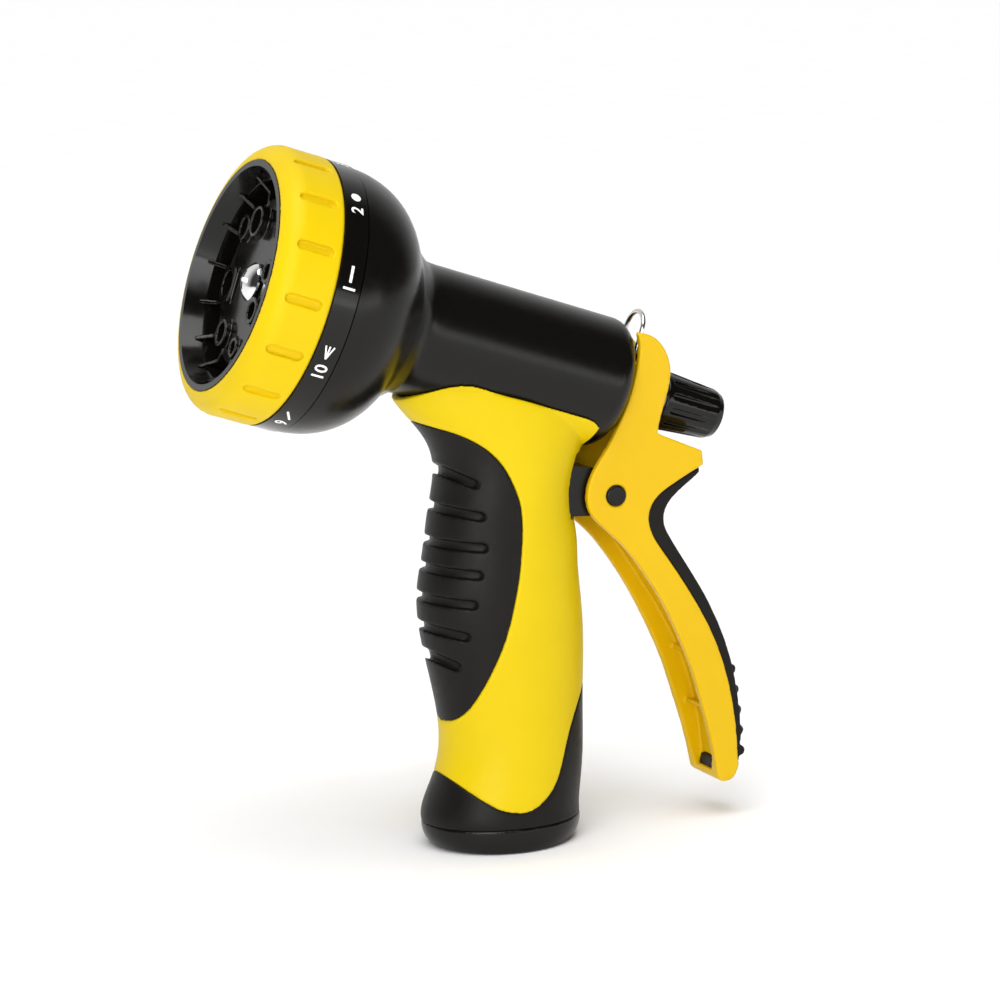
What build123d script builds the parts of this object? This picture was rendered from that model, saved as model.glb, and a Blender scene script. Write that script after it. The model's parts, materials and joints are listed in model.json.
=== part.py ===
from build123d import *
import os
from math import cos, radians, sin

# Garden hose spray nozzle with a rear lever, a ten-pattern dial and a flow knob.
# Millimetres. +Z runs up the handle, -X is the way the water leaves, and the origin is
# the centre of the hose inlet's mouth, at the bottom of the handle.

os.makedirs("parts", exist_ok=True)

# ---------------------------------------------------------------- driving dimensions
BARREL_TILT = 19.1          # the barrel's axis falls this much towards the rear, degrees
BARREL_HEIGHT = 122.3       # its axis above the inlet, on the handle's axis
BARREL_R = 16.3
BARREL_END = 34.2           # rear end of the barrel, along its axis
CHAMBER_R = 9.8             # the valve chamber inside the barrel
SEAT_STEP = -15.0           # where the valve closes, along the axis
DIAL_R = 32.9
DIAL_FRONT = -69.4
DIAL_BACK = -48.8
BAND_FRONT = -54.6          # the label band lies between here and the dial's back
BOWL_FRONT = -48.4
BOWL_R = 32.6
END_ROUND = 4.5             # rounding of the barrel's rear end
# The bowl's outside, from its mouth to where it meets the barrel
BOWL_CURVE = [
    (BOWL_FRONT, BOWL_R), (-43.0, 32.0), (-38.0, 30.3), (-33.5, 27.3), (-30.2, 23.6),
    (-27.6, 20.0), (-24.6, 17.6), (-19.0, BARREL_R),
]
PORT_PITCH_R = 19.0         # the dial's inlets and the body's port lie on this circle
PATTERNS = 10
GRIP_SLOTS = 16
SLOT_PHASE = 2.4            # angle of the first slot above the near side
RIBS = 16
SCREW_R = 2.0
STEM_R = 2.0
KNOB_FRONT = 47.2
KNOB_END = 65.0
THREAD_MINOR_R = 12.4       # 3/4 inch garden hose thread, female
THREAD_DEPTH = 11.3
SOCKET_R = 14.7             # the threaded insert sits in this socket
SOCKET_TOP = 14.5
CAP_TOP = 6.0
WATERWAY_R = 6.2
PIVOT_X, PIVOT_Z = 28.7, 85.2
PIN_R = 2.6
LUG_HALF = 8.6              # the handle's rear lug, half its width
LEVER_INNER = 9.0           # the lever's side plates, half the gap between them
LEVER_OUTER = 11.0
TIP_HALF = 8.3              # half the lever's width at its lower tip
RUNNING = 0.05              # radial clearance of a shaft in its bore

# Handle sections: height, centre in X, half-length in X, half-width in Y
HANDLE = [
    (6, 0.0, 20.1, 17.3),
    (14, 1.3, 19.4, 16.6),
    (20, 2.8, 18.6, 16.0),
    (30, 3.4, 18.4, 15.6),
    (45, 2.4, 20.0, 15.8),
    (58, 1.3, 21.0, 16.0),
    (70, 1.5, 20.0, 15.8),
    (80, 2.0, 18.7, 15.4),
    (90, 3.0, 17.7, 15.2),
    (97, 4.2, 18.9, 15.1),
    (105, 3.3, 22.4, 15.0),
    (114, 0.2, 25.8, 14.0),
    (118, 0.0, 26.0, 12.6),
]
SKIN = 1.9                  # thickness of the moulded-on skins
SKIN_AT_BASE = 1.3

tilt = radians(BARREL_TILT)
rearward = Vector(cos(tilt), 0, -sin(tilt))
upward = Vector(sin(tilt), 0, cos(tilt))
barrel_centre = Vector(0, 0, BARREL_HEIGHT)
barrel_axis = Axis(barrel_centre, rearward)
barrel_side = Plane(origin=barrel_centre, x_dir=rearward, z_dir=(0, -1, 0))


# ------------------------------------------------------------------------- helpers
def station(x, y=0.0, h=0.0):
    """A point by its place along the barrel, across it, and above its axis."""
    return barrel_centre + rearward * x + Vector(0, y, 0) + upward * h


def across(x, y=0.0, h=0.0):
    """A plane across the barrel: its own x runs along +Y, its y up, its z rearwards."""
    return Plane(origin=station(x, y, h), x_dir=(0, 1, 0), z_dir=rearward)


def around(x, radius, angle):
    """A plane that faces outwards at an angle round the barrel, its x rearwards."""
    out = Vector(0, cos(radians(angle)), 0) + upward * sin(radians(angle))
    return Plane(origin=station(x) + out * radius, x_dir=rearward, z_dir=out)


def turn(*outline, mode=Mode.ADD):
    """Turns an outline of (place along the barrel, radius) about the barrel's axis."""
    with BuildSketch(barrel_side) as profile:
        with BuildLine():
            Polyline(*outline, close=True)
        make_face()
    revolve(profile.sketch, axis=barrel_axis, mode=mode)


def tube(start, end, outer, inner=0.0, mode=Mode.ADD):
    """A plain ring or rod on the barrel's axis."""
    turn((start, inner), (end, inner), (end, outer), (start, outer), mode=mode)


def rod(plane, radius, length, mode=Mode.ADD, inner=0.0):
    """A round rod, or a tube, that stands on a plane."""
    with BuildSketch(plane) as section:
        Circle(radius)
        if inner > 0:
            Circle(inner, mode=Mode.SUBTRACT)
    extrude(section.sketch, amount=length, mode=mode)


def through_side(*stretches, half_width=40.0, mode=Mode.ADD):
    """Extrudes a side outline, in X and Z, equally to both sides.

    A stretch of two points is straight and a longer one is a smooth curve through its
    points. Each starts where the one before it ends, and a straight line closes them.
    """
    with BuildSketch(Plane.XZ) as section:
        with BuildLine():
            for stretch in stretches:
                if len(stretch) == 2:
                    Line(*stretch)
                else:
                    Spline(*stretch)
            if stretches[-1][-1] != stretches[0][0]:
                Line(stretches[-1][-1], stretches[0][0])
        make_face()
    extrude(section.sketch, amount=half_width, both=True, mode=mode)


def straight(*points):
    """The straight stretches that join some points."""
    return [(a, b) for a, b in zip(points, points[1:])]


def handle_solid(inset_top, inset_base):
    """The handle's round body, loft through its sections, made smaller by an inset."""
    with BuildPart() as body:
        for z, x, a, b in HANDLE:
            inset = inset_base if z <= HANDLE[1][0] else inset_top
            with BuildSketch(Plane.XY.offset(z)):
                with Locations((x, 0)):
                    Ellipse(a - inset, b - inset)
        loft()
    return body.part


def label_and_write(builder, name):
    """Names a finished piece and writes it."""
    builder.part.label = name
    export_step(builder.part, f"parts/{name}.step")


# ------------------------------------------------- outlines seen from the side (X, Z)
GRIP_EDGE = [
    (-21.5, 107.0), (-17.2, 105.4), (-13.2, 104.0), (-8.7, 101.7), (-4.9, 98.7),
    (-2.0, 94.9), (-0.1, 90.8), (1.4, 85.8), (1.7, 80.1), (1.2, 74.1), (0.3, 68.0),
    (-1.2, 61.3), (-3.4, 53.6), (-7.1, 44.5), (-10.0, 38.4), (-12.8, 33.7), (-15.0, 31.6),
]
COLLAR_EDGE = [
    (-17.0, 19.3), (-14.5, 17.1), (-12.0, 14.9), (-8.7, 12.4), (-5.7, 10.8), (-2.5, 10.1),
    (1.2, 10.2), (5.1, 12.1), (8.4, 15.3), (10.8, 20.0), (12.8, 25.7), (14.9, 30.4),
    (17.2, 34.2), (22.4, 39.8),
]
# The yellow shell's edge along the barrel, front to rear
SHELL_TOP = [
    (-26.0, 111.2), (-22.6, 113.2), (-19.0, 114.6), (-15.0, 115.7), (-10.6, 115.8),
    (-4.0, 113.7), (4.0, 111.0), (13.0, 107.9), (19.0, 105.8), (22.6, 104.0),
    (24.4, 101.2), (24.6, 98.2), (23.6, 94.6),
]

outer_handle = handle_solid(0.0, 0.0)
inner_handle = handle_solid(SKIN, SKIN_AT_BASE)

with BuildPart(mode=Mode.PRIVATE) as grip_region:
    through_side(((-40, 107.0), GRIP_EDGE[0]), GRIP_EDGE, (GRIP_EDGE[-1], (-40, 31.6)))

with BuildPart(mode=Mode.PRIVATE) as collar_region:
    through_side(
        *straight((-40, CAP_TOP), (-40, 19.3), COLLAR_EDGE[0]), COLLAR_EDGE,
        *straight(COLLAR_EDGE[-1], (40, 39.8), (40, CAP_TOP)),
    )

with BuildPart(mode=Mode.PRIVATE) as shell_region:
    through_side(
        *straight((-40, CAP_TOP), (-40, 110.0), SHELL_TOP[0]), SHELL_TOP,
        *straight(SHELL_TOP[-1], (40, 94.6), (40, CAP_TOP)),
    )

with BuildPart(mode=Mode.PRIVATE) as lug_space:
    with BuildSketch(Plane.YZ.offset(8)):
        with Locations((0, 88)):
            Rectangle(2 * LUG_HALF, 16)
    extrude(amount=40)

with BuildPart(mode=Mode.PRIVATE) as waterway:
    with BuildSketch(Plane.XY.offset(SOCKET_TOP)):
        with Locations((0.6, 0)):
            Circle(WATERWAY_R)
    extrude(amount=BARREL_HEIGHT - SOCKET_TOP - 5)

# an oblong slot through the base's rear, wide enough for a strap
with BuildPart(mode=Mode.PRIVATE) as rear_slot:
    with BuildSketch(Plane.YZ.offset(SOCKET_R + 0.9)):
        with Locations((0, 17.8)):
            SlotOverall(12, 7.5)
    extrude(amount=12)

# ------------------------------------------------------------------ body of the nozzle
with BuildPart() as barrel_housing:
    with BuildSketch(barrel_side):
        with BuildLine():
            Polyline((BARREL_END, 0), (BOWL_FRONT, 0), BOWL_CURVE[0])
            Spline(*BOWL_CURVE, tangents=((1, 0), (1, 0)))
            Line(BOWL_CURVE[-1], (BARREL_END - END_ROUND, BARREL_R))
            RadiusArc(
                (BARREL_END - END_ROUND, BARREL_R), (BARREL_END, BARREL_R - END_ROUND),
                END_ROUND,
            )
            Line((BARREL_END, BARREL_R - END_ROUND), (BARREL_END, 0))
        make_face()
    revolve(axis=barrel_axis)
    add(inner_handle)
    # the rear lug that carries the lever's pin
    with BuildSketch(Plane.XZ):
        with BuildLine():
            Polyline(
                (8, 81.2), (23.5, 80.4), (PIVOT_X, 81.0), (PIVOT_X + 4.2, 85.2),
                (PIVOT_X + 2.4, 88.6), (24.0, 92.2), (8, 95.0), close=True,
            )
        make_face()
    extrude(amount=LUG_HALF, both=True)
    # two ears behind the barrel carry the wire bail
    for side in (-1, 1):
        with BuildSketch(across(BARREL_END - 1.0)):
            with Locations((side * 3.1, 9.2)):
                Rectangle(1.4, 3.6)
        extrude(amount=4.6)
    with BuildSketch(Plane(origin=station(36.5, 0, 9.2), x_dir=rearward, z_dir=(0, -1, 0))):
        Circle(0.75)
    extrude(amount=6, both=True, mode=Mode.SUBTRACT)
    # inside of the bowl, the seat's bore, the valve chamber and the gland's bore
    turn(
        (BOWL_FRONT - 1, 0), (BOWL_FRONT - 1, 30.4), (-43.8, 30.4), (-43.8, 28.6),
        (-39.0, 27.6), (-35.0, 25.6), (-31.8, 22.4), (-29.4, 18.6), (-27.0, 14.0),
        (-24.5, 10.5), (SEAT_STEP, 10.5), (SEAT_STEP, CHAMBER_R), (22.0, CHAMBER_R),
        (22.0, 3.0), (25.5, 3.0), (25.5, 6.5), (BARREL_END + 6, 6.5), (BARREL_END + 6, 0),
        mode=Mode.SUBTRACT,
    )
    # the waterway up the handle, and the socket for the threaded insert
    add(waterway.part, mode=Mode.SUBTRACT)
    rod(Plane.XY.offset(CAP_TOP - 1), SOCKET_R, SOCKET_TOP - CAP_TOP + 1, mode=Mode.SUBTRACT)
    add(rear_slot.part, mode=Mode.SUBTRACT)
    # the pin's hole in the lug
    with BuildSketch(Plane.XZ):
        with Locations((PIVOT_X, PIVOT_Z)):
            Circle(PIN_R)
    extrude(amount=LUG_HALF + 5, both=True, mode=Mode.SUBTRACT)
    split(bisect_by=Plane.XY.offset(CAP_TOP), keep=Keep.TOP)
label_and_write(barrel_housing, "barrel_housing")

skin = outer_handle - inner_handle - barrel_housing.part - lug_space.part - waterway.part
with BuildPart() as collar_sleeve:
    # the shell's upper edge wraps round the underside of the barrel
    tube(-19.0, 29.0, BARREL_R + 0.7, BARREL_R)
    add(waterway.part, mode=Mode.SUBTRACT)
shell_top_band = collar_sleeve.part & shell_region.part

with BuildPart() as grip_shell:
    add(skin & shell_region.part)
    add(shell_top_band)
    add(lug_space.part, mode=Mode.SUBTRACT)
    add(grip_region.part, mode=Mode.SUBTRACT)
    add(collar_region.part, mode=Mode.SUBTRACT)
    add(barrel_housing.part, mode=Mode.SUBTRACT)
label_and_write(grip_shell, "grip_shell")

# Finger grooves: left end, right end (X, Z) of each groove's middle line
GROOVE_WIDTH = 2.3
GROOVE_DEPTH = 1.45
GROOVES = [
    ((-14.5, 94.4), (-9.0, 91.4)), ((-15.6, 85.0), (-8.1, 83.5)),
    ((-17.2, 76.7), (-7.9, 75.9)), ((-18.3, 70.2), (-9.4, 69.3)),
    ((-18.4, 62.9), (-10.9, 62.1)), ((-18.9, 55.7), (-12.6, 54.2)),
    ((-17.8, 48.5), (-14.2, 46.6)),
]
groove_floor = handle_solid(GROOVE_DEPTH, GROOVE_DEPTH)
with BuildPart() as grooves:
    for left, right in GROOVES:
        reach = Vector(left[0] - right[0], left[1] - right[1]).normalized() * 14
        with BuildSketch(Plane.XZ):
            with BuildLine():
                Line((right[0] + reach.X, right[1] + reach.Y), right)
            trace(line_width=GROOVE_WIDTH)
            with Locations(right):
                Circle(GROOVE_WIDTH / 2)
        extrude(amount=20, both=True)
    add(groove_floor, mode=Mode.SUBTRACT)

with BuildPart() as finger_grip:
    add(skin & grip_region.part)
    add(grooves.part, mode=Mode.SUBTRACT)
label_and_write(finger_grip, "finger_grip")

with BuildPart() as base_collar:
    add(skin & collar_region.part)
    add(rear_slot.part, mode=Mode.SUBTRACT)
label_and_write(base_collar, "base_collar")

with BuildPart() as end_cap:
    with BuildSketch():
        Ellipse(HANDLE[0][2] - 3.2, HANDLE[0][3] - 1.0)
    with BuildSketch(Plane.XY.offset(1.5)):
        Ellipse(HANDLE[0][2] - 1.2, HANDLE[0][3] - 0.4)
    with BuildSketch(Plane.XY.offset(3.2)):
        Ellipse(HANDLE[0][2] - 0.3, HANDLE[0][3] - 0.1)
    with BuildSketch(Plane.XY.offset(CAP_TOP)):
        Ellipse(HANDLE[0][2], HANDLE[0][3])
    loft()
    with BuildSketch():
        Circle(SOCKET_R)
    extrude(amount=CAP_TOP, mode=Mode.SUBTRACT)
label_and_write(end_cap, "end_cap")

with BuildPart() as thread_insert:
    with BuildSketch():
        Circle(SOCKET_R)
        Circle(THREAD_MINOR_R, mode=Mode.SUBTRACT)
    extrude(amount=SOCKET_TOP)
    rod(Plane.XY.offset(THREAD_DEPTH), 13.1, 4, mode=Mode.SUBTRACT)
label_and_write(thread_insert, "thread_insert")

with BuildPart() as hose_washer:
    with BuildSketch(Plane.XY.offset(THREAD_DEPTH)):
        Circle(13.1)
        Circle(WATERWAY_R, mode=Mode.SUBTRACT)
    extrude(amount=SOCKET_TOP - THREAD_DEPTH)
label_and_write(hose_washer, "hose_washer")

with BuildPart() as pivot_pin:
    with BuildSketch(Plane.XZ.offset(LEVER_OUTER + 0.3)):
        with Locations((PIVOT_X, PIVOT_Z)):
            Circle(PIN_R)
    extrude(amount=-2 * LEVER_OUTER - 0.6)
    chamfer(pivot_pin.edges().filter_by(GeomType.CIRCLE), 0.3)
label_and_write(pivot_pin, "pivot_pin")

# ------------------------------------------------------------- valve inside the barrel
with BuildPart() as valve_seat:
    turn(
        (-19.5, 4.5), (SEAT_STEP - 0.9, 4.5), (SEAT_STEP, 5.0), (SEAT_STEP, 5.6),
        (SEAT_STEP - 0.9, 6.4), (SEAT_STEP - 0.9, CHAMBER_R), (SEAT_STEP, CHAMBER_R),
        (SEAT_STEP, 10.5), (-19.5, 10.5),
    )
label_and_write(valve_seat, "valve_seat")

with BuildPart() as seat_retainer:
    tube(-23.5, -19.5, 10.5, 6.5)
    for angle in (0, 180):
        with BuildSketch(around(-22.6, 8.5, angle)):
            Rectangle(2.0, 2.4)
        extrude(amount=4, both=True, mode=Mode.SUBTRACT)
label_and_write(seat_retainer, "seat_retainer")

with BuildPart() as gland_nut:
    tube(25.5, BARREL_END, 6.5, STEM_R + RUNNING)
    tube(27.0, 29.0, 4.0, STEM_R, mode=Mode.SUBTRACT)
    with BuildSketch(across(BARREL_END - 2.2)):
        RegularPolygon(4.6, 6)
    extrude(amount=3, mode=Mode.SUBTRACT)
label_and_write(gland_nut, "gland_nut")

with BuildPart() as gland_seal:
    with BuildSketch(barrel_side):
        with Locations((28.0, STEM_R + RUNNING + 0.93)):
            Circle(0.93)
    revolve(axis=barrel_axis)
label_and_write(gland_seal, "gland_seal")

with BuildPart() as valve_stem:
    tube(-13.4, 62.0, STEM_R)
    tube(-12.0, -10.6, 6.2, 0)
label_and_write(valve_stem, "valve_stem")

with BuildPart() as valve_seal:
    tube(-14.97, -12.0, 7.4, 0)
    tube(-13.4, -12.0, STEM_R, 0, mode=Mode.SUBTRACT)
label_and_write(valve_seal, "valve_seal")

SPRING_R, SPRING_WIRE, SPRING_TURNS = 4.6, 0.45, 8
SPRING_START, SPRING_END = -10.1, 21.5
spring_length = SPRING_END - SPRING_START
with BuildPart() as valve_spring:
    with BuildLine() as coil:
        Helix(
            pitch=spring_length / SPRING_TURNS, height=spring_length, radius=SPRING_R,
            center=station(SPRING_START), direction=rearward,
        )
    with BuildSketch(Plane(origin=coil.line @ 0, z_dir=coil.line % 0)):
        Circle(SPRING_WIRE)
    sweep()
label_and_write(valve_spring, "valve_spring")

# ------------------------------------------------------------- port plate in the bowl
PLATE_FRONT, PLATE_BACK = -48.2, -43.8
with BuildPart() as port_plate:
    tube(PLATE_FRONT, PLATE_BACK, 30.4)
    tube(PLATE_BACK, -35.0, 5.6)
    rod(across(PLATE_BACK, 0, PORT_PITCH_R), 6.2, 3.6)
    rod(across(PLATE_BACK, 0, -26.0), 2.2, 2.0)
    tube(PLATE_FRONT, -36.5, 3.4, mode=Mode.SUBTRACT)
    rod(across(PLATE_FRONT, 0, PORT_PITCH_R), 4.6, 6.0, mode=Mode.SUBTRACT)
    rod(across(PLATE_FRONT, 0, PORT_PITCH_R), 3.0, 12.0, mode=Mode.SUBTRACT)
    rod(across(PLATE_FRONT, 0, -26.0), 1.35, 5.2, mode=Mode.SUBTRACT)
label_and_write(port_plate, "port_plate")

with BuildPart() as screw_insert:
    tube(PLATE_FRONT, -36.6, 3.4, SCREW_R)
label_and_write(screw_insert, "screw_insert")

with BuildPart() as port_seal:
    rod(across(PLATE_FRONT - 0.55, 0, PORT_PITCH_R), 4.5, 3.4, inner=2.6)
label_and_write(port_seal, "port_seal")

with BuildPart() as port_spring:
    with BuildLine() as port_coil:
        Helix(
            pitch=0.95, height=2.2, radius=3.8,
            center=station(PLATE_FRONT + 3.2, 0, PORT_PITCH_R), direction=rearward,
        )
    with BuildSketch(Plane(origin=port_coil.line @ 0, z_dir=port_coil.line % 0)):
        Circle(0.3)
    sweep()
label_and_write(port_spring, "port_spring")

BALL_R = 1.25
with BuildPart() as detent_ball:
    with Locations(station(PLATE_FRONT + 0.25, 0, -26.0)):
        Sphere(BALL_R)
label_and_write(detent_ball, "detent_ball")

with BuildPart() as detent_spring:
    with BuildLine() as detent_coil:
        Helix(
            pitch=0.7, height=3.4, radius=0.95,
            center=station(PLATE_FRONT + 1.4, 0, -26.0), direction=rearward,
        )
    with BuildSketch(Plane(origin=detent_coil.line @ 0, z_dir=detent_coil.line % 0)):
        Circle(0.18)
    sweep()
label_and_write(detent_spring, "detent_spring")

HEAD_BACK = -62.9
with BuildPart() as centre_screw:
    with BuildSketch(barrel_side):
        with BuildLine():
            Polyline((HEAD_BACK, 0), (HEAD_BACK, 4.7), (HEAD_BACK - 0.5, 4.7))
            ThreePointArc(
                (HEAD_BACK - 0.5, 4.7), (HEAD_BACK - 2.1, 2.7), (HEAD_BACK - 2.7, 0)
            )
            Line((HEAD_BACK - 2.7, 0), (HEAD_BACK, 0))
        make_face()
    revolve(axis=barrel_axis)
    tube(HEAD_BACK, -38.0, SCREW_R)
    with BuildSketch(across(HEAD_BACK - 2.8)):
        Rectangle(4.6, 0.9)
        Rectangle(0.9, 4.6)
    extrude(amount=1.6, mode=Mode.SUBTRACT)
label_and_write(centre_screw, "centre_screw")

# ---------------------------------------------------------------------------- dial
FLOOR = -62.4               # front of the pattern plate
with BuildPart() as dial_shell:
    turn(
        (DIAL_BACK, 29.9), (DIAL_BACK, DIAL_R), (BAND_FRONT, DIAL_R), (BAND_FRONT, 29.4),
        (-68.0, 29.4), (-68.6, 28.2), (DIAL_FRONT, 28.2), (DIAL_FRONT, 26.7),
        (-64.6, 25.2), (-64.6, 24.6), (-57.0, 24.6), (-57.0, 28.0), (-52.4, 28.0),
        (-52.4, 29.9),
    )
label_and_write(dial_shell, "dial_shell")

with BuildPart() as grip_ring:
    with BuildSketch(barrel_side):
        with BuildLine():
            Polyline(
                (-68.6, 28.2), (-68.0, 29.4), (BAND_FRONT, 29.4), (BAND_FRONT, 32.3),
                (BAND_FRONT - 0.7, 33.0), (-64.6, 33.0),
            )
            ThreePointArc((-64.6, 33.0), (-67.9, 31.4), (DIAL_FRONT + 0.1, 28.2))
            Line((DIAL_FRONT + 0.1, 28.2), (-68.6, 28.2))
        make_face()
    revolve(axis=barrel_axis)
    for i in range(GRIP_SLOTS):
        with BuildSketch(around(-61.4, DIAL_R - 1.1, SLOT_PHASE + i * 360 / GRIP_SLOTS)):
            SlotOverall(9.2, 2.3)
        extrude(amount=3, mode=Mode.SUBTRACT)
label_and_write(grip_ring, "grip_ring")

with BuildPart() as pattern_plate:
    turn(
        (FLOOR, SCREW_R + 0.1), (FLOOR, 20.6), (-59.4, 20.6), (-59.4, 22.6),
        (-58.6, 24.5), (-56.6, 24.5), (-56.6, 20.0), (-60.2, 19.0), (-60.2, 6.0),
        (-56.6, 6.0), (-56.6, SCREW_R + 0.1),
    )
    for i in range(RIBS):
        angle = 4.5 + i * 360 / RIBS
        with BuildSketch(
            Plane(
                origin=station(0),
                x_dir=rearward,
                z_dir=upward * cos(radians(angle)) - Vector(0, sin(radians(angle)), 0),
            )
        ):
            with BuildLine():
                Polyline(
                    (-57.5, 19.5), (FLOOR - 0.2, 19.5), (FLOOR - 0.2, 22.6),
                    (-66.6, 25.7), (-64.7, 25.15), (-64.7, 24.5), (-57.5, 24.5), close=True,
                )
            make_face()
        extrude(amount=0.55, both=True)
    # pattern outlets: bosses with holes, and the shower field of small holes
    for y, h, boss, hole, height in [
        (14.2, 12.2, 3.3, 2.2, 1.6), (5.2, 14.2, 3.9, 2.9, 2.2), (9.6, -13.6, 3.5, 2.3, 1.6),
        (-6.2, -6.6, 3.3, 2.1, 1.4), (-8.8, 3.2, 3.0, 1.9, 1.2), (-13.6, -12.0, 3.2, 2.0, 1.4),
        (-14.0, 11.0, 3.4, 2.2, 1.6), (0.5, -16.2, 2.6, 1.5, 1.0),
    ]:
        rod(across(FLOOR - height, y, h), boss, height + 1.0)
        rod(across(FLOOR - height - 1, y, h), hole, 8.0, mode=Mode.SUBTRACT)
    with BuildSketch(across(FLOOR - 1.0, 16.2, -1.9)):
        RectangleRounded(7.6, 8.6, 1.2)
    extrude(amount=1.5)
    rod(across(FLOOR - 2, 16.2, -1.9), 3.1, 8.0, mode=Mode.SUBTRACT)
    for angle in range(0, 360, 30):
        y = -5.0 + 1.9 * cos(radians(angle))
        h = 13.6 + 1.9 * sin(radians(angle))
        rod(across(FLOOR - 1, y, h), 0.4, 6.0, mode=Mode.SUBTRACT)
    tube(DIAL_FRONT, HEAD_BACK, 5.2, mode=Mode.SUBTRACT)
label_and_write(pattern_plate, "pattern_plate")

with BuildPart() as chamber_plate:
    tube(-52.4, DIAL_BACK, 29.9, SCREW_R + 0.1)
    tube(-56.6, -52.4, 24.6, 23.2)
    tube(-56.6, -52.4, 6.0, SCREW_R + 0.1)
    for i in range(PATTERNS):
        angle = 90 + (i + 0.5) * 360 / PATTERNS
        with BuildSketch(around(-54.5, 14.6, angle)):
            Rectangle(4.2, 1.2)
        extrude(amount=8.7, both=True)
    for i in range(PATTERNS):
        angle = radians(90 + i * 360 / PATTERNS)
        port = across(-53, PORT_PITCH_R * cos(angle), PORT_PITCH_R * sin(angle))
        rod(port, 2.4, 6, mode=Mode.SUBTRACT)
    # the click ball runs in this groove, which is as deep as the ball stands proud
    tube(DIAL_BACK - 0.75, DIAL_BACK + 1, 27.6, 24.4, mode=Mode.SUBTRACT)
label_and_write(chamber_plate, "chamber_plate")

# ---------------------------------------------------------------------------- lever
# The lever from the side, clockwise from the top of its front edge
LEVER_HEAD = [
    (35.6, 124.7), (38.6, 124.3), (41.4, 122.3), (43.6, 118.6), (44.2, 114.3),
    (43.1, 109.2), (41.3, 103.8), (40.3, 99.7),
]
LEVER_HORN = [(40.3, 99.7), (52.4, 94.4), (52.6, 90.9), (47.0, 88.2)]
LEVER_BACK = [
    (47.0, 88.2), (42.0, 85.5), (38.8, 82.7), (37.5, 79.4), (38.0, 75.6), (40.8, 70.6),
    (45.0, 64.4), (49.6, 57.0), (53.9, 49.2), (57.3, 41.0), (59.8, 32.0), (61.3, 23.0),
    (61.9, 14.6),
]
LEVER_TIP = [(61.9, 14.6), (61.3, 10.4), (59.6, 8.9), (57.6, 9.0), (56.2, 10.6)]
LEVER_FRONT = [
    (56.2, 10.6), (55.2, 16.4), (53.6, 23.2), (51.6, 30.2), (49.4, 37.7), (46.6, 45.0),
    (43.0, 52.9), (39.2, 60.0), (34.9, 66.6), (29.6, 73.3), (24.4, 78.2), (21.5, 82.0),
    (21.0, 86.0), (22.5, 90.8), (26.4, 96.6), (29.8, 102.2), (32.8, 108.7), (35.1, 115.7),
    (35.9, 119.4), (35.6, 124.7),
]
# The back web's front face, which is the channel's floor
WEB_FRONT = [
    (34.5, 127.0), (38.3, 123.0), (40.9, 119.2), (41.8, 114.4), (40.9, 109.6),
    (38.9, 103.6), (37.3, 98.2), (36.8, 93.0), (36.1, 88.4), (34.7, 84.2), (34.0, 79.8),
    (34.9, 75.0), (37.9, 69.2), (42.4, 62.2), (46.9, 54.9), (51.1, 47.0), (54.4, 39.2),
    (56.9, 30.4), (58.4, 22.0), (58.9, 15.0),
]
WEB_CLOSE = [(58.9, 15.0), (57.4, 11.4), (45.0, 11.0), (10.0, 60.0), (10.0, 127.0)]
# A window in the web at the tip, which the soft pad fills
TIP_WINDOW = [(57.2, 11.2), (62.2, 11.2), (62.4, 14.0), (57.9, 14.0)]
WINDOW_HALF = 5.0
TIP_TAPER_Z = 58.0          # below here the lever narrows towards its tip


def tapered_width(inset, bottom):
    """The space between the lever's sides, seen from behind, inset from its outer faces."""
    half, tip = LEVER_OUTER - inset, TIP_HALF - inset
    with BuildPart() as space:
        with BuildSketch(Plane.YZ):
            with BuildLine():
                Polyline(
                    (-half, 130), (-half, TIP_TAPER_Z), (-tip, bottom + 4),
                    (-tip + 2, bottom), (tip - 2, bottom), (tip, bottom + 4),
                    (half, TIP_TAPER_Z), (half, 130), close=True,
                )
            make_face()
        extrude(amount=80)
    return space.part


wall = LEVER_OUTER - LEVER_INNER
with BuildPart() as channel:
    through_side(WEB_FRONT, *straight(*WEB_CLOSE))
    add(tapered_width(wall, 11), mode=Mode.INTERSECT)

RIB_PLACES = [(49.6, 53.6, -31), (54.6, 41.0, -21), (57.6, 27.2, -10)]
with BuildPart() as channel_ribs:
    for x, z, slope in RIB_PLACES:
        with BuildSketch(Plane.XZ):
            with Locations(Location((x, z), slope)):
                Rectangle(5.4, 1.0)
        extrude(amount=LEVER_OUTER, both=True)
    through_side(
        [
            (36.2, 70.0), (41.0, 62.0), (45.6, 54.6), (49.8, 46.8), (53.1, 39.0),
            (55.6, 30.2), (57.2, 22.0), (58.6, 13.0),
        ],
        *straight((58.6, 13.0), (62.0, 40.0), (44.0, 72.0)),
        half_width=0.6,
    )
    add(channel.part, mode=Mode.INTERSECT)

STEM_SLOT = 6.6
NOSE_R = 1.7
NOSE_X = 44.6
with BuildPart() as washer_nose:
    with BuildSketch(Plane(origin=station(NOSE_X), x_dir=rearward, z_dir=(0, -1, 0))):
        Circle(NOSE_R)
    extrude(amount=7.2, both=True)

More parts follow.
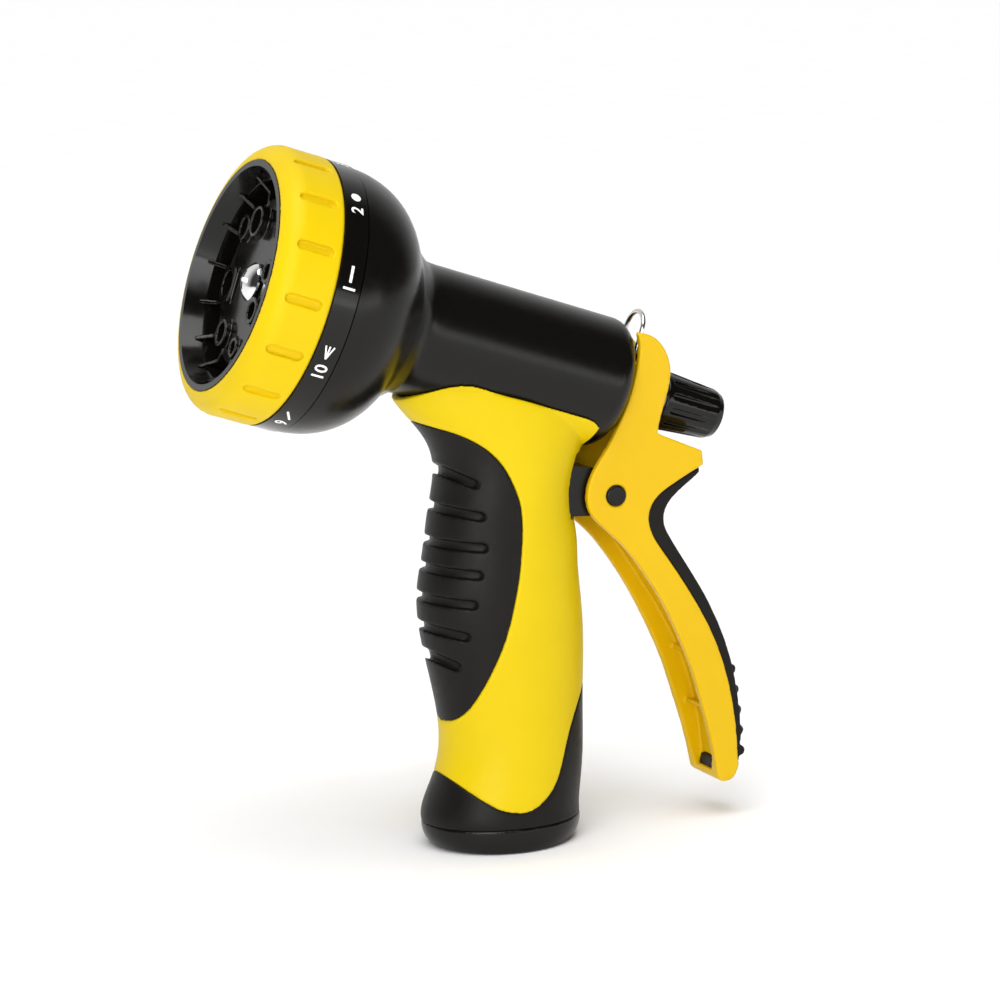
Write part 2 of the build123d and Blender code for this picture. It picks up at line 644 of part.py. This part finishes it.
with BuildPart() as lever:
    through_side(
        LEVER_HEAD, *straight(*LEVER_HORN), LEVER_BACK, LEVER_TIP, LEVER_FRONT,
        half_width=LEVER_OUTER,
    )
    add(tapered_width(0, 6), mode=Mode.INTERSECT)
    add(channel.part, mode=Mode.SUBTRACT)
    add(channel_ribs.part)
    add(washer_nose.part)
    through_side(*straight(*TIP_WINDOW), half_width=WINDOW_HALF, mode=Mode.SUBTRACT)
    # keyhole: a slot for the stem, wider above it for the bail
    with BuildSketch(across(30)):
        with Locations((0, 12)):
            Rectangle(12.2, 10)
        with Locations((0, 1.5)):
            Rectangle(STEM_SLOT, 12.5)
    extrude(amount=20, mode=Mode.SUBTRACT)
    with BuildSketch(Plane.XZ):
        with Locations((PIVOT_X, PIVOT_Z)):
            Circle(PIN_R + RUNNING)
    extrude(amount=LEVER_OUTER + 5, both=True, mode=Mode.SUBTRACT)
label_and_write(lever, "lever")

# Soft pad on the lever's back: an upper tip, a thick bend and a thin ribbed tail
PAD_TIP = [(45.6, 87.5), (50.6, 90.0), (51.6, 90.4), (51.9, 89.2)]
PAD_BACK = [
    (51.9, 89.2), (48.4, 86.5), (44.6, 83.6), (42.3, 80.6), (41.8, 77.4), (43.4, 73.4),
    (46.9, 67.6), (51.4, 60.2), (55.4, 52.6), (58.8, 44.4), (61.2, 35.6), (62.6, 27.0),
    (63.0, 19.0), (62.0, 12.0),
]
# The pad's inner side, which the lever's web covers
PAD_INSIDE = [
    (62.0, 12.0), (60.2, 20.0), (58.3, 31.0), (55.8, 40.2), (48.5, 55.8), (39.2, 70.4),
    (36.0, 79.0), (37.4, 84.0),
]
PAD_INSET = 0.6
RIDGES = 5                  # round ridges across the pad's tail
RIDGE_R = 1.3
RIDGE_PITCH = 5.3
RIDGE_HALF = 8.0            # half their length
RIDGE_X, RIDGE_Z = 60.8, 37.6   # centre of the topmost one
RIDGE_LEAN = 2.2            # how far back they go towards the lowest
with BuildPart() as lever_pad:
    through_side(
        *straight(*PAD_TIP), PAD_BACK, *straight(*PAD_INSIDE), half_width=LEVER_OUTER
    )
    for i in range(RIDGES):
        lean = RIDGE_LEAN * (1 - (1 - i / RIDGES) ** 2)
        with BuildSketch(Plane.XZ):
            with Locations((RIDGE_X + lean, RIDGE_Z - i * RIDGE_PITCH)):
                Circle(RIDGE_R)
        extrude(amount=RIDGE_HALF, both=True)
    through_side(*straight(*TIP_WINDOW), half_width=WINDOW_HALF)
    add(tapered_width(PAD_INSET, 8), mode=Mode.INTERSECT)
    add(lever.part, mode=Mode.SUBTRACT)
label_and_write(lever_pad, "lever_pad")

# ----------------------------------------------------------------------- flow knob
with BuildPart() as knob_washer:
    tube(46.35, KNOB_FRONT, 6.6, STEM_R + RUNNING)
label_and_write(knob_washer, "knob_washer")

FLUTES = 12
with BuildPart() as flow_knob:
    turn(
        (KNOB_FRONT + 0.02, 0), (KNOB_FRONT + 0.02, 7.3), (KNOB_FRONT + 0.6, 7.5),
        (KNOB_END - 2.6, 6.35), (KNOB_END - 0.8, 5.6), (KNOB_END, 4.2), (KNOB_END, 0),
    )
    for i in range(FLUTES):
        angle = 15 + i * 360 / FLUTES
        with BuildSketch(around(KNOB_FRONT + 9.0, 8.15, angle)):
            SlotOverall(14.6, 1.5)
        extrude(amount=-1.9, mode=Mode.SUBTRACT)
    tube(KNOB_FRONT, 63.0, STEM_R + 1.6, 0, mode=Mode.SUBTRACT)
label_and_write(flow_knob, "flow_knob")

with BuildPart() as knob_insert:
    tube(KNOB_FRONT + 0.02, 60.0, STEM_R + 1.6, STEM_R + RUNNING)
label_and_write(knob_insert, "knob_insert")

# ---------------------------------------------------------------------------- bail
WIRE_R = 0.62
BAIL_HALF = 4.7
BAIL_TOP = 19.6
bail_plane = across(36.5)
with BuildPart() as wire_bail:
    with BuildLine(bail_plane) as bail_path:
        Polyline((-2.2, 9.2), (-BAIL_HALF + 0.9, 9.2))
        ThreePointArc(
            (-BAIL_HALF + 0.9, 9.2),
            (-BAIL_HALF + 0.264, 9.464),
            (-BAIL_HALF, 10.1),
        )
        Line((-BAIL_HALF, 10.1), (-BAIL_HALF, BAIL_TOP - BAIL_HALF))
        ThreePointArc(
            (-BAIL_HALF, BAIL_TOP - BAIL_HALF), (0, BAIL_TOP), (BAIL_HALF, BAIL_TOP - BAIL_HALF)
        )
        Line((BAIL_HALF, BAIL_TOP - BAIL_HALF), (BAIL_HALF, 10.1))
        ThreePointArc(
            (BAIL_HALF, 10.1), (BAIL_HALF - 0.264, 9.464), (BAIL_HALF - 0.9, 9.2)
        )
        Line((BAIL_HALF - 0.9, 9.2), (2.2, 9.2))
    with BuildSketch(Plane(origin=bail_path.line @ 0, z_dir=bail_path.line % 0)):
        Circle(WIRE_R)
    sweep()
label_and_write(wire_bail, "wire_bail")
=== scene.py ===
import bpy
import bmesh
import json
import math
from math import cos, pi, radians, sin
from mathutils import Matrix, Vector


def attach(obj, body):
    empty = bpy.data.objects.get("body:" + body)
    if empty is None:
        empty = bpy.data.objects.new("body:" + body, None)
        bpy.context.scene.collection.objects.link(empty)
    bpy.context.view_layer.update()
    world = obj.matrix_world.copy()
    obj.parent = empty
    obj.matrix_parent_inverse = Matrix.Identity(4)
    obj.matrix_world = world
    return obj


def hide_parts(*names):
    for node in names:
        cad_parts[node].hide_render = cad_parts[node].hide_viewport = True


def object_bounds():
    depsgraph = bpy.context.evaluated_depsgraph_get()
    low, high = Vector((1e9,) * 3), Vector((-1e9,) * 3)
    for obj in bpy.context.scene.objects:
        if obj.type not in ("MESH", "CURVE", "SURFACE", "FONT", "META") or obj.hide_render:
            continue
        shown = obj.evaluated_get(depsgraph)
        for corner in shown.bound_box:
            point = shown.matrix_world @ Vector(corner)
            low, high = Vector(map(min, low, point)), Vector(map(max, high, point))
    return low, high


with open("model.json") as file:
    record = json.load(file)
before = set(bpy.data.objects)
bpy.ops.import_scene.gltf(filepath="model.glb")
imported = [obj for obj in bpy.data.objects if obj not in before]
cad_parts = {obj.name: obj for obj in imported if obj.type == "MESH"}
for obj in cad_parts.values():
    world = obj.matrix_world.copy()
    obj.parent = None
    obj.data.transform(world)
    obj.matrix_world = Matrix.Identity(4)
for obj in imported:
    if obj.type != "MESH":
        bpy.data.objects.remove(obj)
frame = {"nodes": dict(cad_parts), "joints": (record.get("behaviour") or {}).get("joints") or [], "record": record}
cad_low, cad_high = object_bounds()
MM = 0.001

# ------------------------------------------------------------------ the nozzle's frame
joints = {joint["name"]: joint for joint in frame["joints"]}
rearward = Vector(joints["dial_spin"]["axis"]).normalized()
upward = Vector((-rearward.z, 0, rearward.x))
BARREL_HEIGHT = 122.3
barrel_centre = Vector((0, 0, BARREL_HEIGHT * MM))


def station(x, y=0.0, h=0.0):
    """A point in millimetres along the barrel, across it and above its axis, as metres."""
    return barrel_centre + (rearward * x + Vector((0, y, 0)) + upward * h) * MM


# ------------------------------------------------------------------------- materials
def node_tree(name):
    """A new material with its nodes, links and main shader."""
    material = bpy.data.materials.new(name)
    material.use_nodes = True
    nodes, links = material.node_tree.nodes, material.node_tree.links
    return material, nodes, links, nodes["Principled BSDF"]


def noise(nodes, links, scale, detail):
    """A noise texture over the object's own coordinates; scale is in bumps per metre."""
    place = nodes.new("ShaderNodeTexCoord")
    texture = nodes.new("ShaderNodeTexNoise")
    texture.inputs["Scale"].default_value = scale
    texture.inputs["Detail"].default_value = detail
    links.new(place.outputs["Object"], texture.inputs["Vector"])
    return texture


def ramp(nodes, links, value, low, high, start=0.3, end=0.7):
    """A value or colour that runs from low to high as the texture goes from start to end."""
    mixer = nodes.new("ShaderNodeValToRGB")
    mixer.color_ramp.elements[0].position = start
    mixer.color_ramp.elements[1].position = end
    mixer.color_ramp.elements[0].color = low
    mixer.color_ramp.elements[1].color = high
    links.new(value, mixer.inputs["Fac"])
    return mixer.outputs["Color"]


def grey(v):
    """An even grey as a colour with full opacity."""
    return (v, v, v, 1.0)


def bump(nodes, links, height, strength, distance, shader, under=None):
    """Fine relief for a shader, laid over another relief where one is given."""
    node = nodes.new("ShaderNodeBump")
    node.inputs["Strength"].default_value = strength
    node.inputs["Distance"].default_value = distance
    links.new(height, node.inputs["Height"])
    if under is not None:
        links.new(under.outputs["Normal"], node.inputs["Normal"])
    links.new(node.outputs["Normal"], shader.inputs["Normal"])
    return node


def moulded(name, colour, rough, shade=0.06, grain=2600.0, grain_depth=0.00004,
            coat=0.0, coat_rough=0.2, specular=0.5, scuff=0.10, metallic=0.0,
            sway=0.0002):
    """A moulded surface: slight colour drift, fine grain, and handling marks in its gloss."""
    material, nodes, links, shader = node_tree(name)
    drift = noise(nodes, links, 55.0, 4.0)
    low = tuple(c * (1 - shade) for c in colour) + (1.0,)
    high = tuple(min(1.0, c * (1 + shade)) for c in colour) + (1.0,)
    links.new(ramp(nodes, links, drift.outputs["Fac"], low, high), shader.inputs["Base Color"])
    marks = noise(nodes, links, 420.0, 6.0)
    links.new(
        ramp(nodes, links, marks.outputs["Fac"], grey(rough), grey(rough + scuff), 0.35, 0.8),
        shader.inputs["Roughness"],
    )
    fine = noise(nodes, links, grain, 2.0)
    wave = noise(nodes, links, 95.0, 1.0)
    slow = bump(nodes, links, wave.outputs["Fac"], 0.25, sway, shader)
    bump(nodes, links, fine.outputs["Fac"], 0.35, grain_depth, shader, under=slow)
    shader.inputs["Coat Weight"].default_value = coat
    shader.inputs["Coat Roughness"].default_value = coat_rough
    shader.inputs["Specular IOR Level"].default_value = specular
    shader.inputs["Metallic"].default_value = metallic
    return material


MATERIALS = {
    "black_plastic": moulded("satin_black", (0.0042, 0.0036, 0.0028), 0.21, grain=3200,
                             grain_depth=0.000004, specular=0.26, scuff=0.07, sway=0.00004),
    "gloss_black": moulded("gloss_black", (0.0036, 0.0031, 0.0024), 0.13, coat=0.15,
                           coat_rough=0.08, grain=1800, grain_depth=0.000004, specular=0.24,
                           scuff=0.05, sway=0.00004),
    "black_rubber": moulded("soft_black", (0.0060, 0.0052, 0.0043), 0.40, grain=4200,
                            grain_depth=0.00007, specular=0.18),
    "yellow_shell": moulded("yellow_shell", (0.70, 0.510, 0.002), 0.40, shade=0.02,
                            grain_depth=0.00002, specular=0.16),
    "yellow_ring": moulded("yellow_ring", (0.71, 0.500, 0.001), 0.46, shade=0.02,
                           grain_depth=0.00003, specular=0.16),
    "yellow_lever": moulded("yellow_lever", (0.72, 0.450, 0.001), 0.30, shade=0.02,
                            grain_depth=0.00002, specular=0.22),
    "brass": moulded("brass", (0.76, 0.54, 0.22), 0.22, metallic=1.0, grain=900),
    "chrome": moulded("chrome", (0.86, 0.86, 0.87), 0.09, metallic=1.0, grain=700, shade=0.02),
    "spring_steel": moulded("steel_wire", (0.66, 0.64, 0.61), 0.18, metallic=1.0, grain=1500),
    "seal_rubber": moulded("seal_rubber", (0.02, 0.02, 0.02), 0.45),
    "white_plastic": moulded("natural_plastic", (0.72, 0.71, 0.67), 0.40),
}
MARK_WHITE = moulded("printed_white", (0.93, 0.93, 0.92), 0.35, shade=0.03, grain_depth=0.00001)
slot_of = {s["node"]: s["material_slot"] for s in frame["record"]["subparts"]}


def paint(obj, slot):
    """Gives a piece the material of one of the record's slots."""
    obj.data.materials.clear()
    obj.data.materials.append(MATERIALS[slot])
    return obj


for node, obj in frame["nodes"].items():
    paint(obj, slot_of[node])
    for polygon in obj.data.polygons:
        polygon.use_smooth = True

# ---------------------------------------------------------------- softened mouldings
grouping = frame["record"]["behaviour"]["bodies"]
body_of = {node: body for body, group in grouping.items() for node in group}


def soften(node, voxel, passes, keep):
    """Puts a copy with rounded edges, as a mould leaves them, in the place of a CAD node."""
    source = frame["nodes"][node]
    piece = bpy.data.objects.new(node + "_moulded", source.data.copy())
    bpy.context.scene.collection.objects.link(piece)
    piece.matrix_world = source.matrix_world
    skin = piece.modifiers.new("skin", "REMESH")
    skin.mode = "VOXEL"
    skin.voxel_size = voxel * MM
    skin.use_smooth_shade = True
    edges = piece.modifiers.new("edges", "SMOOTH")
    edges.factor, edges.iterations = 0.5, passes
    lighter = piece.modifiers.new("lighter", "DECIMATE")
    lighter.ratio = keep
    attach(piece, body_of[node])
    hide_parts(node)
    return paint(piece, slot_of[node])


# node: voxel in millimetres, smoothing passes, share of the faces that is kept
SOFTENED = {
    "grip_shell": (0.36, 9, 0.35),
    "finger_grip": (0.28, 12, 0.5),
    "base_collar": (0.34, 8, 0.5),
    "end_cap": (0.30, 5, 0.6),
    "lever": (0.30, 7, 0.4),
    "lever_pad": (0.30, 8, 0.6),
    "grip_ring": (0.28, 5, 0.5),
    "pattern_plate": (0.24, 3, 0.5),
    "flow_knob": (0.20, 4, 0.7),
    "pivot_pin": (0.20, 4, 0.7),
}
for node, (voxel, passes, keep) in SOFTENED.items():
    soften(node, voxel, passes, keep)

# ------------------------------------------------------------- thread of the hose inlet
THREAD_PITCH, THREAD_CREST, THREAD_ROOT = 2.209, 12.4, 13.25
THREAD_LENGTH, INSERT_LENGTH, INSERT_RADIUS, WASHER_SEAT = 11.3, 14.5, 14.7, 13.1
THREAD_RUN_OUT, THREAD_LEAD_IN = 1.2, 0.9
TOOTH_SLOPE, TOOTH_FLAT = 2.2, 0.6
THREAD_STEPS_ROUND, THREAD_ROWS = 96, 72


def thread_radius(angle, z):
    """Sloped teeth with flat tops: crests at the bore's own radius, roots cut into the brass."""
    phase = (z / THREAD_PITCH - angle / (2 * pi)) % 1.0
    tooth = min(1.0, max(0.0, TOOTH_SLOPE * abs(2 * phase - 1) - TOOTH_FLAT))
    run_out = min(1.0, max(0.0, (THREAD_LENGTH - z) / THREAD_RUN_OUT))
    lead_in = max(0.0, 1.0 - z / THREAD_LEAD_IN)
    cut = max(tooth * run_out, lead_in)
    return THREAD_CREST + (THREAD_ROOT - THREAD_CREST) * cut


def make_thread():
    """The brass insert with a helical thread in place of its plain bore."""
    mesh = bmesh.new()
    rings = []
    heights = [THREAD_LENGTH * (1 - i / THREAD_ROWS) for i in range(THREAD_ROWS + 1)]
    for k in range(THREAD_STEPS_ROUND):
        angle = 2 * pi * k / THREAD_STEPS_ROUND
        outline = [(thread_radius(angle, z), z) for z in heights]
        outline += [(INSERT_RADIUS, 0.0), (INSERT_RADIUS, INSERT_LENGTH)]
        outline += [(WASHER_SEAT, INSERT_LENGTH), (WASHER_SEAT, THREAD_LENGTH)]
        rings.append([
            mesh.verts.new((r * cos(angle) * MM, r * sin(angle) * MM, z * MM)) for r, z in outline
        ])
    for here, there in zip(rings, rings[1:] + rings[:1]):
        for i, vertex in enumerate(here):
            after = (i + 1) % len(here)
            mesh.faces.new((vertex, there[i], there[after], here[after]))
    bmesh.ops.recalc_face_normals(mesh, faces=mesh.faces)
    data = bpy.data.meshes.new("inlet_thread")
    mesh.to_mesh(data)
    mesh.free()
    insert = bpy.data.objects.new("inlet_thread", data)
    bpy.context.scene.collection.objects.link(insert)
    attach(insert, body_of["thread_insert"])
    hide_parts("thread_insert")
    paint(insert, slot_of["thread_insert"])


make_thread()

# ------------------------------------------------------------------ marks on the dial
BAND_MIDDLE, BAND_RADIUS = -51.7, 32.9
MARK_LIFT = 0.06
MARK_PITCH = 36.0
FIRST_MARK = 11.5
DIGIT_HEIGHT = 3.0
CAPITAL_SHARE = 0.7
DIGIT_SWELL = 0.07
PICTURE_GAP, PICTURE_WIDTH = 1.2, 4.0
DOT_SIDES, RING_SIDES = 16, 24


def on_band(u, v, angle):
    """Wraps a flat point round the band: u runs upwards round it, v towards the front."""
    turn_angle = radians(angle) + u / BAND_RADIUS
    r = BAND_RADIUS + MARK_LIFT
    return station(BAND_MIDDLE - v, -r * cos(turn_angle), r * sin(turn_angle))


def strip(points, width):
    """A flat ribbon of a given width along some points, as quads."""
    shapes = []
    for (u0, v0), (u1, v1) in zip(points, points[1:]):
        run = math.hypot(u1 - u0, v1 - v0)
        du = (u1 - u0) / run * width / 2
        dv = (v1 - v0) / run * width / 2
        start = [(u0 - dv, v0 + du), (u0 + dv, v0 - du)]
        end = [(u1 + dv, v1 - du), (u1 - dv, v1 + du)]
        shapes.append(start + end)
    return shapes


def circle(u, v, r, sides, count):
    """The first count corners round a many-sided circle."""
    turns = [2 * pi * k / sides for k in range(count)]
    return [(u + r * cos(turn), v + r * sin(turn)) for turn in turns]


def dot(u, v, r):
    """A filled round spot, as one face."""
    return [circle(u, v, r, DOT_SIDES, DOT_SIDES)]


def ring(u, v, r, width):
    """A round line that closes on itself."""
    return strip(circle(u, v, r, RING_SIDES, RING_SIDES + 1), width)


def digits(text):
    """A number's outline as flat faces, and how wide it is."""
    curve = bpy.data.curves.new("digits", "FONT")
    curve.body = text
    curve.size = DIGIT_HEIGHT / CAPITAL_SHARE
    curve.offset = DIGIT_SWELL
    carrier = bpy.data.objects.new("digits", curve)
    bpy.context.scene.collection.objects.link(carrier)
    result = carrier.evaluated_get(bpy.context.evaluated_depsgraph_get())
    shape = result.to_mesh()
    corners = [(vertex.co.x, vertex.co.y - DIGIT_HEIGHT / 2) for vertex in shape.vertices]
    faces = [[corners[k] for k in face.vertices] for face in shape.polygons]
    result.to_mesh_clear()
    bpy.data.objects.remove(carrier)
    return faces, max(u for u, v in corners)


# One small picture for each spray, 4 mm wide and centred on its own middle
PICTURES = [
    strip([(-2.0, 0), (2.0, 0)], 0.7),
    dot(0, 0, 1.25),
    strip([(-1.6, -1.1), (-1.6, 1.1)], 0.5) + strip([(-0.8, 0), (1.9, 0)], 0.5),
    [shape for i in range(-1, 2) for j in range(-1, 2) for shape in dot(i * 1.2, j * 0.95, 0.3)],
    ring(0, 0, 1.15, 0.45),
    ring(0, 0, 1.15, 0.4) + dot(0, 0, 0.42),
    [shape for i in range(4) for shape in dot(i * 1.05 - 1.6, 0.5 * (-1) ** i, 0.3)],
    strip([(-1.8, 0.6), (1.8, 0.6)], 0.5) + strip([(-1.8, -0.6), (1.8, -0.6)], 0.5),
    strip([(-1.7, -1.0), (1.7, 1.0)], 0.55),
    [shape for j in (-1, 0, 1) for shape in strip([(-1.6, 0), (1.7, j * 1.1)], 0.4)],
]


def make_marks():
    """Numbers and pictures, each pair centred on its own place round the band."""
    mesh = bmesh.new()
    for number, picture in enumerate(PICTURES, start=1):
        angle = FIRST_MARK + (number - 1) * MARK_PITCH
        faces, width = digits(str(number))
        start = -(width + PICTURE_GAP + PICTURE_WIDTH) / 2
        middle = start + width + PICTURE_GAP + PICTURE_WIDTH / 2
        placed = [[(u + start, v) for u, v in face] for face in faces]
        placed += [[(u + middle, v) for u, v in face] for face in picture]
        for face in placed:
            mesh.faces.new([mesh.verts.new(on_band(u, v, angle)) for u, v in face])
    data = bpy.data.meshes.new("spray_marks")
    mesh.to_mesh(data)
    mesh.free()
    marks = bpy.data.objects.new("spray_marks", data)
    bpy.context.scene.collection.objects.link(marks)
    data.materials.append(MARK_WHITE)
    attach(marks, "dial")


make_marks()

# ------------------------------------------------------------------ camera and studio
CAMERA_AZIMUTH, CAMERA_ELEVATION, CAMERA_ROLL = -22.61, 9.5, -1.62
CAMERA_DISTANCE = 0.9
CAMERA_LENS, CAMERA_SENSOR = 131.97, 36.0
camera_target = Vector((0.00226, 0, 0.085))
LIGHT_AIM = Vector((0, 0, 0.09))
SUN_POWER, SUN_SPREAD, SUN_WAY = 2.6, 50, (0.15, 0.25, -1)
SKY_FRONT, SKY_BACK, SKY_STRENGTH = 0.035, 0.9, 0.9
FLOOR_HALF, FLOOR_GAP = 14.0, 0.0002


def make_camera():
    """Looks at the nozzle from the photo's side, slightly rolled."""
    a, e = radians(CAMERA_AZIMUTH), radians(CAMERA_ELEVATION)
    back = Vector((sin(a) * cos(e), -cos(a) * cos(e), sin(e)))
    data = bpy.data.cameras.new("camera")
    data.lens, data.sensor_width = CAMERA_LENS, CAMERA_SENSOR
    data.clip_start, data.clip_end = 0.05, 20
    camera = bpy.data.objects.new("camera", data)
    bpy.context.scene.collection.objects.link(camera)
    camera.rotation_mode = "QUATERNION"
    camera.location = camera_target + back * CAMERA_DISTANCE
    level = (-back).to_track_quat("-Z", "Y")
    roll = Matrix.Rotation(radians(CAMERA_ROLL), 4, "Z").to_quaternion()
    camera.rotation_quaternion = level @ roll
    bpy.context.scene.camera = camera


def area_light(name, place, size, power):
    """A rectangular soft light that faces the nozzle's middle."""
    data = bpy.data.lights.new(name, "AREA")
    data.shape, data.size, data.size_y = "RECTANGLE", size[0], size[1]
    data.energy = power
    light = bpy.data.objects.new(name, data)
    bpy.context.scene.collection.objects.link(light)
    light.location = place
    light.rotation_mode = "QUATERNION"
    light.rotation_quaternion = (LIGHT_AIM - Vector(place)).to_track_quat("-Z", "Y")


def make_sky():
    """A dome that is dark in front of the nozzle and bright behind it."""
    world = bpy.data.worlds.new("studio")
    world.use_nodes = True
    nodes, links = world.node_tree.nodes, world.node_tree.links
    direction = nodes.new("ShaderNodeTexCoord")
    split = nodes.new("ShaderNodeSeparateXYZ")
    behind = nodes.new("ShaderNodeMapRange")
    behind.inputs["From Min"].default_value = -1.0
    links.new(direction.outputs["Generated"], split.inputs["Vector"])
    links.new(split.outputs["Y"], behind.inputs["Value"])
    glow = ramp(nodes, links, behind.outputs["Result"], grey(SKY_FRONT), grey(SKY_BACK),
                0.50, 0.80)
    links.new(glow, nodes["Background"].inputs["Color"])
    nodes["Background"].inputs["Strength"].default_value = SKY_STRENGTH
    bpy.context.scene.world = world


def make_sun():
    """A wide overhead sun, which gives the soft shadow."""
    sun_data = bpy.data.lights.new("overhead", "SUN")
    sun_data.energy, sun_data.angle = SUN_POWER, radians(SUN_SPREAD)
    sun = bpy.data.objects.new("overhead", sun_data)
    bpy.context.scene.collection.objects.link(sun)
    sun.rotation_mode = "QUATERNION"
    sun.rotation_quaternion = Vector(SUN_WAY).to_track_quat("-Z", "Y")


def make_floor():
    """A plain pale floor just under the foot."""
    floor_mesh = bpy.data.meshes.new("floor")
    corners = [(x * FLOOR_HALF, y * FLOOR_HALF, 0) for x, y in ((-1, -1), (1, -1), (1, 1), (-1, 1))]
    floor_mesh.from_pydata(corners, [], [(0, 1, 2, 3)])
    floor = bpy.data.objects.new("floor", floor_mesh)
    bpy.context.scene.collection.objects.link(floor)
    floor.location.z = cad_low.z - FLOOR_GAP
    material, nodes, links, shader = node_tree("pale_floor")
    speckle = noise(nodes, links, 30.0, 2.0)
    links.new(
        ramp(nodes, links, speckle.outputs["Fac"], grey(0.93), grey(0.95)),
        shader.inputs["Base Color"],
    )
    shader.inputs["Roughness"].default_value = 0.8
    shader.inputs["Specular IOR Level"].default_value = 0.1
    floor_mesh.materials.append(material)


make_camera()
make_sky()
make_sun()
area_light("key", (-0.62, -1.00, 0.42), (0.75, 0.75), 9.0)
area_light("low_strip", (0.52, -1.05, 0.13), (0.90, 0.22), 1.3)
bpy.context.scene.view_settings.view_transform = "Standard"
make_floor()
